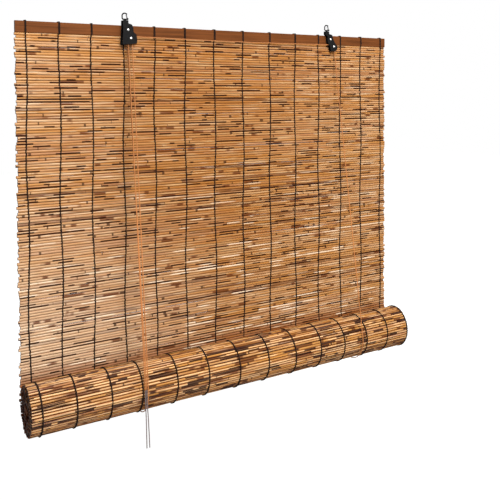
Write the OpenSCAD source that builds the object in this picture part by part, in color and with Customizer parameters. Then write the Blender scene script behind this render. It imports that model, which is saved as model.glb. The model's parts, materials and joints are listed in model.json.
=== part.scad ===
// Reed roll-up blind on two hanging pulleys, with its lower part rolled up on its own cords.
// The origin is the saddle of the left hook. X runs along the blind, Y to its back, Z up.

/* [Blind] */
// Width of the reed mat and of both rails
blind_w = 1000; // [960:5:1040]
// Drop from the top of the head rail to the middle of the roll
drop = 821; // [760:1:900]
// Distance of the left hook from the left edge
left_inset = 234; // [226:1:250]
// Distance of the right hook from the right edge
right_inset = 206; // [190:1:220]

/* [Rails] */
// Height of the flat rails
rail_h = 25; // [24:0.5:27]
// Thickness of the flat rails
rail_t = 10; // [9.5:0.5:12]
// Worn bevel along the rails' edges
rail_bevel = 1; // [0.5:0.1:2]
// Diameter of the hole that each lift cord is knotted in
cord_hole_d = 3; // [2.8:0.1:3.5]
// Diameter of the seat for the knot
knot_seat_d = 7.6; // [7:0.1:8]
// Depth of the seat for the knot
knot_seat_depth = 6; // [5.8:0.1:6.5]

/* [Reeds] */
// Diameter of a reed
reed_d = 5.6; // [5:0.1:5.8]
// Spacing of the reeds
reed_pitch = 6; // [5.9:0.1:6.6]
// Number of open gaps between reeds of the hanging mat
gap_count = 110; // [20:1:120]
// Height of an open gap
gap_h = 0.7; // [0.4:0.1:0.8]
// Outer radius of the roll
roll_r = 58; // [54:0.5:62]

/* [Stitching] */
// Number of stitching rows
stitch_rows = 14; // [14:1:15]
// Distance of the first row from the left edge
stitch_left = 21; // [14:1:26]
// Distance of the last row from the right edge
stitch_right = 17; // [12:1:24]
// How far the rows wander from even spacing
stitch_wander = 10; // [4:1:12]
// Width of a stitched thread
thread_w = 1.8; // [1:0.1:2.4]
// Thickness of a stitched thread
thread_t = 0.9; // [0.6:0.1:1.2]

/* [Pulley cases] */
// Thickness of the folded sheet
sheet_t = 1.5; // [1:0.1:2]
// Width of the neck that carries the hook
neck_w = 12; // [11:0.5:14]
// Height of the neck above the head rail
neck_h = 11; // [10:0.5:14]
// Drop of the cases below the top of the head rail
case_drop = 45; // [44:0.5:52]
// Depth of the screws below the top of the head rail
screw_drop = 10.5; // [9:0.5:12]
// Depth of the sheave axles below the top of the head rail
axle_drop = 29.5; // [29.5:0.5:31]
// Diameter of the fixing screws
screw_d = 4; // [3.5:0.1:4.5]
// Diameter of the spacers on the screws
spacer_d = 7; // [6.5:0.1:8]
// Diameter of the screw heads and rivet heads
head_d = 6; // [5.5:0.1:6.4]
// Height of the domed heads at the front
head_h = 1.8; // [1.2:0.1:2.2]
// Thickness of the clenched rivet heads at the back
clench_t = 1.2; // [0.8:0.1:1.4]

/* [Sheaves] */
// Outer radius of a sheave
sheave_r = 6.5; // [6.3:0.1:7]
// Width of a sheave
sheave_w = 6; // [5.6:0.1:6.4]
// Radius at the bottom of the groove
groove_r = 3.2; // [3:0.1:3.4]
// Diameter of the sheave axles
axle_d = 3.2; // [2.8:0.1:3.6]

/* [Cord lock] */
// Diameter of the cam's pin
cam_pin_d = 3; // [2.5:0.1:3.2]
// Reach of the cam's nose from its pin
cam_nose = 5.2; // [5:0.1:5.3]
// Depth of the cam's pin below the top of the head rail
cam_drop = 35; // [34:0.5:36]
// Number of gripping teeth
cam_teeth = 4; // [3:1:5]

/* [Hooks] */
// Diameter of the hook wire
wire_d = 3; // [2.8:0.1:3.2]
// Radius of the hook's bend at the middle of the wire
hook_r = 6; // [5.8:0.1:7]
// Length of the hook's straight side
hook_side = 5; // [4:0.5:8]
// Diameter of the swivel post
post_d = 4; // [3.6:0.1:4.2]
// Diameter of the post's clenched head
post_head_d = 6; // [5.6:0.1:6]
// Diameter of the gate wire
gate_d = 1.2; // [1:0.1:1.4]
// Diameter of the gate's pivot pin
gate_pin_d = 1.6; // [1.4:0.1:1.8]

/* [Cords] */
// Diameter of the lift cords
cord_d = 2.2; // [1.8:0.1:2.2]

/* [Clearances] */
// Gap between pieces that pass each other
run_gap = 0.3; // [0.2:0.05:0.4]
// Radial clearance of a turning fit
turn_fit = 0.05; // [0.02:0.01:0.1]
// Radial clearance round a fixed screw
screw_fit = 0.1; // [0.05:0.05:0.2]

/* [Hidden] */
$fn = 48;

// Colours
reed_color = "#b98a52";
rail_color = "#8a5530";
thread_color = "#241712";
case_color = "#1c1a1a";
bright_color = "#d9d6cf";
cord_color = "#b5713f";

// Hook and neck heights, from the saddle down
hook_bend_z = wire_d / 2 - hook_r;
hook_corner_r = 2.6;
crossbar_z = hook_bend_z - hook_side - hook_corner_r;
collar_t = 1.4;
neck_top_z = crossbar_z - wire_d / 2 - collar_t;
rail_top_z = neck_top_z - neck_h;
rail_bottom_z = rail_top_z - rail_h;

// Depths, from the middle of the left pulley to the back
sheave_gap = sheave_w + 2 * run_gap;
left_gap = 2 * sheave_gap;
right_gap = sheave_gap;
back_plane = left_gap / 2;
rail_front_y = back_plane + sheet_t;
rail_mid_y = rail_front_y + rail_t / 2;
front_sheave_y = -sheave_gap / 2;
back_sheave_y = sheave_gap / 2;

// Places along the blind
left_edge_x = -left_inset;
right_hook_x = blind_w - left_inset - right_inset;
left_screw_x = 5;
left_axle_x = 11.5;
right_screw_x = right_hook_x + 10.5;
right_axle_x = right_hook_x + 22;
screw_z = rail_top_z - screw_drop;
axle_z = rail_top_z - axle_drop;
left_knot_x = 12;
right_knot_x = right_hook_x + 16;
knot_z = rail_top_z - rail_h * 0.76;
knot_d = knot_seat_d - 2 * run_gap;

// Hanging mat and roll
reed_r = reed_d / 2;
wall_half = reed_r * 0.5;
ridge_angles = [-60, -25, 25, 60];
ridge_top = reed_r * cos(25);
turn_wall = reed_r * 0.9;
roll_z = rail_top_z - drop;
roll_mid_r = roll_r - reed_r;
roll_y = rail_mid_y - roll_mid_r;
mat_bottom_z = roll_z + run_gap / 2;
mat_h = rail_bottom_z - mat_bottom_z;
mat_reeds = floor(mat_h / reed_pitch);
mat_pitch = mat_h / mat_reeds;
turn_step = 20;
core_corner = [rail_t / 2 - rail_bevel, rail_h / 2];
core_r = norm(core_corner) + run_gap;
core_mid_r = core_r / cos(turn_step / 2) + turn_wall;
roll_turns = floor((roll_mid_r - core_mid_r) / (2 * turn_wall + run_gap));
turn_pitch = (roll_mid_r - core_mid_r) / roll_turns;
roll_reeds = floor(360 * roll_mid_r * PI / 180 / reed_pitch);
roll_start = 0.2;
ring_end = 320;
stitch_clear_z = roll_z + roll_r * 0.45;

// Cord routes
cord_r = cord_d / 2;
cord_on_sheave_r = groove_r + cord_r + run_gap;
cord_on_roll_r = roll_r + cord_r + run_gap;
cord_sides = 8;
case_exit_z = rail_top_z - case_drop - 3;
pull_x = left_axle_x - cord_on_sheave_r;
left_lift_x = left_axle_x + cord_on_sheave_r;
right_lift_x = right_axle_x + cord_on_sheave_r;
cord_top_z = axle_z - run_gap;
rail_back_y = rail_front_y + rail_t;

// Bend of a back cord out of its hole, as distance out of the rail and down from the knot
back_bend = [[2, 1.2], [2.6, 4]];
back_out = 2.4;
back_clear = 4;
back_lead = 60;

// Fall of a pull tail, as drift to the left, distance off the roll and depth below its axis
tail_bend = [[0, 0.3, 12], [1, 1, 60]];
tail_drift = 2;
tail_out = 1;

// How far the cases cover the rail, to the left and right of their hooks
case_left_reach = 12;
left_case_reach = 30;
right_case_reach = 36;
left_sling_x = row_x(3) + 11;
right_sling_x = row_x(stitch_rows - 3) - 4.5;
left_pull_roll_x = row_x(3) + 4;
right_pull_roll_x = row_x(3) + 7.5;
pull_end_z = roll_z - 122;
cross_sag = 2;
sling_steps = 13;

function unit(v) = v / norm(v);
function turned(a) = [cos(a), sin(a)];
function shortest(a) = a > 180 ? a - 360 : a < -180 ? a + 360 : a;

// A corner of an outline, as an arc of radius r between its two sides
function corner(a, b, c, r, n) =
    let (
        u = unit(a - b),
        v = unit(c - b),
        half = acos(u * v) / 2,
        m = b + unit(u + v) * r / sin(half),
        p = b + u * r / tan(half) - m,
        q = b + v * r / tan(half) - m,
        start = atan2(p.y, p.x),
        sweep = shortest(atan2(q.y, q.x) - start)
    )
    [for (k = [0 : n]) m + r * turned(start + sweep * k / n)];

// Length of wall that the arc of a corner takes up on each of its sides
function corner_take(a, b, c, r) = r / tan(acos(unit(a - b) * unit(c - b)) / 2);

// An outline with rounded corners from points of the form [x, z, radius], each arc limited by its walls
function rounded(pts, n = 6) =
    let (
        last = len(pts) - 1,
        at = [for (p = pts) [p.x, p.y]],
        prev = [for (i = [0 : last]) at[i == 0 ? last : i - 1]],
        next = [for (i = [0 : last]) at[i == last ? 0 : i + 1]],
        take = [for (i = [0 : last]) corner_take(prev[i], at[i], next[i], pts[i].z)],
        fit = [for (i = [0 : last]) min(1, norm(next[i] - at[i]) / (take[i] + take[i == last ? 0 : i + 1]))]
    )
    [
        for (i = [0 : last])
            each corner(prev[i], at[i], next[i], pts[i].z * min(fit[i], fit[i == 0 ? last : i - 1]), n)
    ];

// Middle of stitching row k along the blind
function row_x(k) =
    left_edge_x + stitch_left + (blind_w - stitch_left - stitch_right) * k / (stitch_rows - 1)
    - stitch_wander * sin(360 * k / (stitch_rows - 1));

// One side of the hanging mat: side 1 is the back, -1 the front
function mat_side(side) = [
    for (i = [0 : mat_reeds - 1], a = ridge_angles)
        [side * reed_r * cos(a), mat_bottom_z + (i + 0.5) * mat_pitch + reed_r * sin(a)]
];
function backwards(list) = [for (i = [len(list) - 1 : -1 : 0]) list[i]];

// Middle radius of the rolled mat at an angle from its tail, and a point at an offset from it
function turn_r(a) = roll_mid_r - turn_pitch * a / 360;
function turn_point(a, offset) = (turn_r(a) + offset) * [cos(a), -sin(a)];
function ridge_point(k, a) =
    let (
        mid = roll_start + (360 - roll_start) * (k + 0.5) / roll_reeds,
        off = reed_r * sin(a) / turn_r(mid) * 180 / PI
    )
    turn_point(mid + off, reed_r * cos(a));

// Tangent of a route at point i
function heading(route, i) =
    unit(route[min(i + 1, len(route) - 1)] - route[max(i - 1, 0)]);
function across(ref, t) = unit(ref - (ref * t) * t);
function ring(route, i, r, ref) =
    let (
        t = heading(route, i),
        n = across(ref, t),
        b = cross(t, n)
    )
    [for (k = [0 : cord_sides - 1]) route[i] + r * (cos(45 * k) * n + sin(45 * k) * b)];

// Where the lift cord from a sheave in the plane y meets the roll, as an angle under the roll
function lift_angle(y) =
    let (
        v = [y - roll_y, case_exit_z - roll_z]
    )
    atan2(v.y, v.x) + acos(cord_on_roll_r / norm(v));
function on_roll(x, a) = [x, roll_y + cord_on_roll_r * cos(a), roll_z + cord_on_roll_r * sin(a)];
function on_sheave(x, y, a) = [x + cord_on_sheave_r * cos(a), y, axle_z + cord_on_sheave_r * sin(a)];

// Routes of the cords
function back_route(knot_x, sling_x) = [
    [knot_x, rail_front_y + knot_seat_depth, knot_z],
    [knot_x, rail_back_y, knot_z],
    for (p = back_bend) [knot_x, rail_back_y + p.x, knot_z - p.y],
    [knot_x, rail_back_y + back_out, rail_bottom_z - back_clear],
    [knot_x, roll_y + cord_on_roll_r, rail_bottom_z - back_lead],
    [sling_x, roll_y + cord_on_roll_r, roll_z + run_gap]
];
function sling_route(x, y) =
    let (
        last = lift_angle(y) - 360
    )
    [for (k = [0 : sling_steps]) on_roll(x, last * k / sling_steps)];
function front_route(lift_x, y, sling_x) =
    let (
        foot = on_roll(sling_x, lift_angle(y)),
        top = [lift_x, y, case_exit_z]
    )
    [foot + run_gap * unit(top - foot), top, [lift_x, y, cord_top_z]];
function pull_route(y, roll_x) =
    let (
        foot = on_roll(roll_x, lift_angle(y)),
        top = [pull_x, y, case_exit_z]
    )
    [[pull_x, y, cord_top_z], top, foot + run_gap * unit(top - foot)];
function tail_route(y, roll_x) =
    let (
        foot = on_roll(roll_x, lift_angle(y))
    )
    [
        foot,
        for (p = tail_bend) [roll_x - p[0], roll_y - cord_on_roll_r - p[1], roll_z - p[2]],
        [roll_x - tail_drift, roll_y - cord_on_roll_r - tail_out, pull_end_z]
    ];
left_sheave_route = [for (a = [0 : 22.5 : 180]) on_sheave(left_axle_x, front_sheave_y, a)];
cross_route = concat(
    [for (a = [0 : 22.5 : 90]) on_sheave(right_axle_x, back_sheave_y, a)],
    [[(left_axle_x + right_axle_x) / 2, back_sheave_y, axle_z + cord_on_sheave_r - cross_sag]],
    [for (a = [90 : 22.5 : 180]) on_sheave(left_axle_x, back_sheave_y, a)]
);

// Outlines of the case cheeks, from the hook's axis and the top of the head rail
left_outline = rounded([
    [-neck_w / 2, neck_h, 1],
    [neck_w / 2, neck_h, 1],
    [neck_w / 2, 4, 1.5],
    [14, 2, 4],
    [17.5, -6, 4],
    [17.5, -15, 3],
    [25, -21, 4],
    [26.5, -case_drop + 4, 3],
    [-8.5, -case_drop, 3],
    [-6.5, -18, 8]
]);
right_outline = rounded([
    [-neck_w / 2, neck_h, 1],
    [neck_w / 2, neck_h, 1],
    [neck_w / 2, 4, 1.5],
    [16, 2, 4],
    [19, -9, 6],
    [25, -20, 5],
    [33, -28, 5],
    [31, -case_drop + 4, 6],
    [12, -case_drop + 2, 6],
    [8, -28, 6],
    [1, -18, 6],
    [0.5, -2, 4],
    [-neck_w / 2, 2, 2]
]);
cam_outline = rounded([
    [-5.2, 1.6, 1.2],
    [0, 4.2, 2],
    [3.4, 2.6, 1],
    [cam_nose - 0.2, 0.6, 0.3],
    [cam_nose - 0.2, -0.9, 0.3],
    [1.4, -4, 1.5],
    [-5.2, -4.2, 1.2]
], 4);

// Shapes that repeat

// Sweeps a profile drawn in Y and Z along X
module along_x(x, length) {
    translate([x, 0, 0])
        rotate([90, 0, 90])
            linear_extrude(length)
                children();
}

// A plate drawn in X and Z, from the plane y towards the back
module plate(y, t) {
    translate([0, y + t, 0])
        rotate([90, 0, 0])
            linear_extrude(t)
                children();
}

// A rod from the plane y towards the back
module rod(x, y, z, d, length) {
    translate([x, y, z])
        rotate([-90, 0, 0])
            cylinder(d = d, h = length);
}

// A turned shape about an axis along Y, from points of the form [radius, y]
module turned_y(x, z, pts) {
    translate([x, 0, z])
        rotate([-90, 0, 0])
            rotate_extrude()
                polygon(pts);
}

// A domed head's profile with its flat face at y, rising towards the front
function dome(d, h, y) = [for (a = [90 : -15 : 0]) [d / 2 * cos(a), y - h * sin(a)]];

module rail_section() {
    polygon([
        [-rail_t / 2 + rail_bevel, -rail_h / 2],
        [rail_t / 2 - rail_bevel, -rail_h / 2],
        [rail_t / 2, -rail_h / 2 + rail_bevel],
        [rail_t / 2, rail_h / 2 - rail_bevel],
        [rail_t / 2 - rail_bevel, rail_h / 2],
        [-rail_t / 2 + rail_bevel, rail_h / 2],
        [-rail_t / 2, rail_h / 2 - rail_bevel],
        [-rail_t / 2, -rail_h / 2 + rail_bevel]
    ]);
}

// A cord swept along a route, with flat ends
module cord(route, ref) {
    n = len(route);
    s = cord_sides;
    points = [for (i = [0 : n - 1]) each ring(route, i, cord_r, ref)];
    sides = [
        for (i = [0 : n - 2], k = [0 : s - 1])
            [i * s + k, (i + 1) * s + k, (i + 1) * s + (k + 1) % s, i * s + (k + 1) % s]
    ];
    start = [for (k = [0 : s - 1]) k];
    finish = [for (k = [s - 1 : -1 : 0]) (n - 1) * s + k];
    color(cord_color)
        polyhedron(points, concat(sides, [start, finish]));
}

// A folded pulley case: two cheeks and the bridge over the neck
module case_shell(hook_x, outline, front_y, gap, holes) {
    color(case_color)
        difference() {
            union() {
                translate([hook_x, 0, rail_top_z]) {
                    plate(front_y - sheet_t, sheet_t)
                        polygon(outline);
                    plate(front_y + gap, sheet_t)
                        polygon(outline);
                }
                translate([hook_x - neck_w / 2 + 1, front_y - sheet_t / 2, neck_top_z - sheet_t])
                    cube([neck_w - 2, gap + sheet_t, sheet_t]);
            }
            translate([hook_x, front_y + gap / 2, neck_top_z - sheet_t - 1])
                cylinder(d = post_d + 2 * turn_fit, h = sheet_t + 2);
            for (h = holes)
                rod(h.x, front_y - sheet_t - 1, h.y, h.z, gap + 2 * sheet_t + 2);
        }
}

// A round-headed screw through both cheeks into the head rail
module fixing_screw(x, front_y) {
    seat = front_y - sheet_t;
    shank_end = rail_front_y + rail_t * 0.7;
    color(bright_color)
        turned_y(x, screw_z, concat(
            dome(head_d, head_h, seat),
            [
                [screw_d / 2, seat],
                [screw_d / 2, shank_end - screw_d / 2],
                [0, shank_end]
            ]
        ));
}

module spacer(x, front_y, gap) {
    color(bright_color)
        difference() {
            rod(x, front_y, screw_z, spacer_d, gap);
            rod(x, front_y - 1, screw_z, screw_d + 2 * screw_fit, gap + 2);
        }
}

// A rivet through both cheeks, domed at the front and clenched at the back
module axle(x, front_y) {
    seat = front_y - sheet_t;
    color(bright_color)
        turned_y(x, axle_z, concat(
            dome(head_d, head_h, seat),
            [
                [axle_d / 2, seat],
                [axle_d / 2, rail_front_y],
                [head_d / 2, rail_front_y],
                [head_d / 2, rail_front_y + clench_t * 0.6],
                [head_d / 2 - clench_t * 0.4, rail_front_y + clench_t],
                [0, rail_front_y + clench_t]
            ]
        ));
}

// A grooved wheel on an axle, with its middle plane at y
module sheave(x, y) {
    bore_r = axle_d / 2 + turn_fit;
    rim = 0.7;
    floor_half = cord_r + 0.2;
    color(bright_color)
        turned_y(x, axle_z, [
            [bore_r, y - sheave_w / 2],
            [sheave_r, y - sheave_w / 2],
            [sheave_r, y - sheave_w / 2 + rim],
            [groove_r, y - floor_half],
            [groove_r, y + floor_half],
            [sheave_r, y + sheave_w / 2 - rim],
            [sheave_r, y + sheave_w / 2],
            [bore_r, y + sheave_w / 2]
        ]);
}

// A bent piece of wire in the plane of the hook: part of a ring about [x, z]
module bend(x, z, r, from, sweep) {
    translate([x, 0, z])
        rotate([90, 0, 0])
            rotate([0, 0, from])
                rotate_extrude(angle = sweep)
                    translate([r, 0])
                        circle(d = wire_d);
}

gate_x = hook_r;
gate_z = crossbar_z + 0.5;
knuckle_d = gate_pin_d + 2.8;
knuckle_w = wire_d + 0.4;
hook_tip = 48;
hook_lap = 0.4;
hook_tip_d = wire_d + 0.8;
side_d = wire_d - 0.2;
leg_y = knuckle_w / 2 + run_gap / 2 + gate_d / 2;
gate_inset = 0.4;
gate_clear = 0.9;
gate_top = [
    hook_r * cos(hook_tip) - gate_inset,
    hook_bend_z + hook_r * sin(hook_tip) - (wire_d + gate_d) / 2 - gate_clear
];

// A wire hook with its swivel post, clenched under the bridge of the case
module snap_hook(x, y) {
    side_bottom_z = hook_bend_z - hook_side;
    corner_x = hook_corner_r - hook_r;
    clench_z = neck_top_z - sheet_t - run_gap;
    color(case_color)
        translate([x, y, 0])
            union() {
                bend(0, hook_bend_z, hook_r, hook_tip, 180 - hook_tip);
                translate([hook_r * cos(hook_tip), 0, hook_bend_z + hook_r * sin(hook_tip)])
                    sphere(d = hook_tip_d);
                translate([-hook_r, 0, side_bottom_z - hook_lap])
                    cylinder(d = side_d, h = hook_side + 2 * hook_lap);
                bend(corner_x, side_bottom_z, hook_corner_r, 180, 90);
                translate([corner_x - hook_lap, 0, crossbar_z])
                    rotate([0, 90, 0])
                        cylinder(d = side_d, h = hook_r - corner_x + hook_lap);
                rod(gate_x, -knuckle_w / 2, gate_z, knuckle_d, knuckle_w);
                rod(gate_x, -leg_y - gate_d, gate_z, gate_pin_d, 2 * leg_y + 2 * gate_d);
                rotate_extrude()
                    polygon([
                        [0, crossbar_z],
                        [post_d / 2 + 1, crossbar_z],
                        [post_d / 2 + 1, neck_top_z + run_gap],
                        [post_d / 2, neck_top_z + run_gap],
                        [post_d / 2, clench_z],
                        [post_head_d / 2 - run_gap, clench_z],
                        [post_head_d / 2 - run_gap, clench_z - clench_t],
                        [0, clench_z - clench_t]
                    ]);
            }
}

// The sprung wire gate: two legs on the pivot pin and the bar that shuts against the tip
module wire_gate(x, y) {
    lean = atan2(gate_x - gate_top.x, gate_top.y - gate_z);
    length = norm([gate_x - gate_top.x, gate_top.y - gate_z]);
    eye_d = gate_pin_d + 2 * gate_d;
    color(bright_color)
        translate([x, y, 0])
            difference() {
                union() {
                    for (side = [-1, 1]) {
                        rod(gate_x, side * leg_y - gate_d / 2, gate_z, eye_d, gate_d);
                        translate([gate_x, side * leg_y, gate_z])
                            rotate([0, -lean, 0])
                                cylinder(d = gate_d, h = length);
                    }
                    rod(gate_top.x, -leg_y - gate_d / 2, gate_top.y, gate_d, 2 * leg_y + gate_d);
                }
                rod(gate_x, -leg_y - gate_d, gate_z, gate_pin_d + 2 * turn_fit, 2 * leg_y + 2 * gate_d);
            }
}

// Rails and reeds

module head_rail() {
    color(rail_color)
        difference() {
            translate([0, rail_mid_y, rail_top_z - rail_h / 2])
                along_x(left_edge_x, blind_w)
                    rail_section();
            for (x = [left_screw_x, right_screw_x])
                rod(x, rail_front_y - 1, screw_z, screw_d + 2 * screw_fit, 1 + rail_t * 0.75);
            for (x = [left_knot_x, right_knot_x]) {
                rod(x, rail_front_y - 1, knot_z, cord_hole_d, rail_t + 2);
                rod(x, rail_front_y - 1, knot_z, knot_seat_d, 1 + knot_seat_depth);
            }
        }
}

module bottom_rail() {
    color(rail_color)
        translate([0, roll_y, roll_z])
            rotate([-atan2(core_corner.y, core_corner.x), 0, 0])
                along_x(left_edge_x, blind_w)
                    rail_section();
}

module reed_mat() {
    slot_min = 30;
    slot_max = 70;
    along = rands(15, blind_w - slot_max - 15, gap_count, 7);
    long = rands(slot_min, slot_max, gap_count, 11);
    step = (mat_reeds - 4) / gap_count;
    color(reed_color)
        difference() {
            translate([0, rail_mid_y, 0])
                along_x(left_edge_x, blind_w)
                    polygon(concat(
                        [[-wall_half, mat_bottom_z], [wall_half, mat_bottom_z]],
                        mat_side(1),
                        [[wall_half, rail_bottom_z], [-wall_half, rail_bottom_z]],
                        backwards(mat_side(-1))
                    ));
            for (i = [0 : gap_count - 1])
                translate([
                    left_edge_x + along[i],
                    rail_mid_y - reed_d,
                    mat_bottom_z + (2 + floor(i * step)) * mat_pitch - gap_h / 2
                ])
                    cube([long[i], 2 * reed_d, gap_h]);
        }
}

module reed_roll() {
    last = 360 * roll_turns;
    color(reed_color)
        translate([0, roll_y, roll_z])
            along_x(left_edge_x, blind_w)
                polygon(concat(
                    [for (k = [0 : roll_reeds - 1], a = ridge_angles) ridge_point(k, a)],
                    [for (a = [360 + turn_step : turn_step : last]) turn_point(a, turn_wall)],
                    [for (a = [last : -turn_step : turn_step]) turn_point(a, -turn_wall)],
                    [turn_point(roll_start, -turn_wall)]
                ));
}

// Stitching

module mat_stitching() {
    color(thread_color)
        for (k = [0 : stitch_rows - 1]) {
            translate([row_x(k) - thread_w / 2, rail_mid_y - ridge_top - thread_t, stitch_clear_z])
                cube([thread_w, thread_t, rail_bottom_z - stitch_clear_z]);
            translate([row_x(k) - thread_w / 2, rail_mid_y + ridge_top, mat_bottom_z])
                cube([thread_w, thread_t, rail_bottom_z - mat_bottom_z - thread_t]);
        }
}

module rail_lashings() {
    color(thread_color)
        for (k = [0 : stitch_rows - 1])
            if (!under_case(row_x(k)))
                difference() {
                    translate([row_x(k) - thread_w, rail_front_y - thread_t, rail_bottom_z])
                        cube([2 * thread_w, rail_t + 2 * thread_t, rail_h + thread_t]);
                    translate([row_x(k) - thread_w - 1, rail_front_y, rail_bottom_z - 1])
                        cube([2 * thread_w + 2, rail_t, rail_h + 1]);
                }
}

// A row that passes behind a pulley case is lashed below the rail only
function under_case(x) =
    (x > -case_left_reach && x < left_case_reach)
    || (x > right_hook_x - case_left_reach && x < right_hook_x + right_case_reach);

module roll_stitching() {
    swell = 1 / cos(turn_step / 2);
    angles = [1, for (a = [turn_step : turn_step : ring_end]) a];
    inner = [for (a = angles) turn_point(a, (turn_r(a) + reed_r) * swell - turn_r(a))];
    outer = [for (a = angles) turn_point(a, (turn_r(a) + reed_r) * swell - turn_r(a) + thread_t)];
    color(thread_color)
        for (k = [0 : stitch_rows - 1])
            translate([0, roll_y, roll_z])
                along_x(row_x(k) - thread_w / 2, thread_w)
                    polygon(concat(inner, backwards(outer)));
}

// Left pulley, with two sheaves and the cord lock

module left_case() {
    case_shell(0, left_outline, -back_plane, left_gap, [
        [left_screw_x, screw_z, screw_d + 2 * screw_fit],
        [left_axle_x, axle_z, axle_d + 2 * turn_fit],
        [cam_x, cam_z, cam_pin_d]
    ]);
}

module left_screw() {
    fixing_screw(left_screw_x, -back_plane);
}

module left_spacer() {
    spacer(left_screw_x, -back_plane, left_gap);
}

module left_axle() {
    axle(left_axle_x, -back_plane);
}

module left_front_sheave() {
    sheave(left_axle_x, front_sheave_y);
}

module left_back_sheave() {
    sheave(left_axle_x, back_sheave_y);
}

cam_x = pull_x - cord_r - run_gap - cam_nose;
cam_z = rail_top_z - cam_drop;
cam_w = left_gap - 4 * run_gap;

module lock_cam() {
    tooth = 1.1;
    color(bright_color)
        translate([cam_x, 0, cam_z])
            difference() {
                plate(-cam_w / 2, cam_w)
                    polygon(cam_outline);
                rod(0, -cam_w, 0, cam_pin_d + 2 * turn_fit, 2 * cam_w);
                for (i = [0 : cam_teeth - 1])
                    rotate([0, 30 * i / cam_teeth - 12, 0])
                        translate([cam_nose - 0.1, -cam_w, 0])
                            rotate([-90, 0, 0])
                                cylinder(d = tooth * 0.5, h = 2 * cam_w);
            }
}

module cam_pin() {
    color(case_color)
        rod(cam_x, -back_plane - sheet_t, cam_z, cam_pin_d, left_gap + 2 * sheet_t);
}

module left_hook() {
    snap_hook(0, 0);
}

module left_gate() {
    wire_gate(0, 0);
}

// Right pulley, with one sheave

module right_case() {
    case_shell(right_hook_x, right_outline, back_plane - right_gap, right_gap, [
        [right_screw_x, screw_z, screw_d + 2 * screw_fit],
        [right_axle_x, axle_z, axle_d + 2 * turn_fit]
    ]);
}

module right_screw() {
    fixing_screw(right_screw_x, back_plane - right_gap);
}

module right_spacer() {
    spacer(right_screw_x, back_plane - right_gap, right_gap);
}

module right_axle() {
    axle(right_axle_x, back_plane - right_gap);
}

module right_sheave() {
    sheave(right_axle_x, back_sheave_y);
}

module right_hook() {
    snap_hook(right_hook_x, back_sheave_y);
}

module right_gate() {
    wire_gate(right_hook_x, back_sheave_y);
}

// Cords

// A stop knot in its seat in the head rail
module knot(x) {
    long = knot_seat_depth - run_gap;
    color(cord_color)
        turned_y(x, knot_z, [
            [0, rail_front_y + run_gap],
            [knot_d * 0.3, rail_front_y + run_gap],
            [knot_d / 2, rail_front_y + run_gap + long * 0.3],
            [knot_d / 2, rail_front_y + run_gap + long * 0.65],
            [knot_d * 0.3, rail_front_y + knot_seat_depth],
            [0, rail_front_y + knot_seat_depth]
        ]);
}

module left_knot() {
    knot(left_knot_x);
}

module right_knot() {
    knot(right_knot_x);
}

module left_back_cord() {
    cord(back_route(left_knot_x, left_sling_x), [1, 0, 0]);
}

module left_sling_cord() {
    cord(sling_route(left_sling_x, front_sheave_y), [1, 0, 0]);
}

module left_front_cord() {
    cord(front_route(left_lift_x, front_sheave_y, left_sling_x), [1, 0, 0]);
}

module left_sheave_cord() {
    cord(left_sheave_route, [0, 1, 0]);
}

module left_pull_cord() {
    cord(pull_route(front_sheave_y, left_pull_roll_x), [1, 0, 0]);
}

module left_pull_tail() {
    cord(tail_route(front_sheave_y, left_pull_roll_x), [1, 0, 0]);
}

module right_back_cord() {
    cord(back_route(right_knot_x, right_sling_x), [1, 0, 0]);
}

module right_sling_cord() {
    cord(sling_route(right_sling_x, back_sheave_y), [1, 0, 0]);
}

module right_front_cord() {
    cord(front_route(right_lift_x, back_sheave_y, right_sling_x), [1, 0, 0]);
}

module cross_cord() {
    cord(cross_route, [0, 1, 0]);
}

module right_pull_cord() {
    cord(pull_route(back_sheave_y, right_pull_roll_x), [1, 0, 0]);
}

module right_pull_tail() {
    cord(tail_route(back_sheave_y, right_pull_roll_x), [1, 0, 0]);
}

head_rail();
bottom_rail();
reed_mat();
mat_stitching();
rail_lashings();
reed_roll();
roll_stitching();
left_case();
left_screw();
left_spacer();
left_axle();
left_front_sheave();
left_back_sheave();
lock_cam();
cam_pin();
left_hook();
left_gate();
right_case();
right_screw();
right_spacer();
right_axle();
right_sheave();
right_hook();
right_gate();
left_knot();
right_knot();
left_back_cord();
left_sling_cord();
left_front_cord();
left_sheave_cord();
left_pull_cord();
left_pull_tail();
right_back_cord();
right_sling_cord();
right_front_cord();
cross_cord();
right_pull_cord();
right_pull_tail();
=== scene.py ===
import json
import math
import random

import bpy
from mathutils import Matrix, Vector


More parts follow.
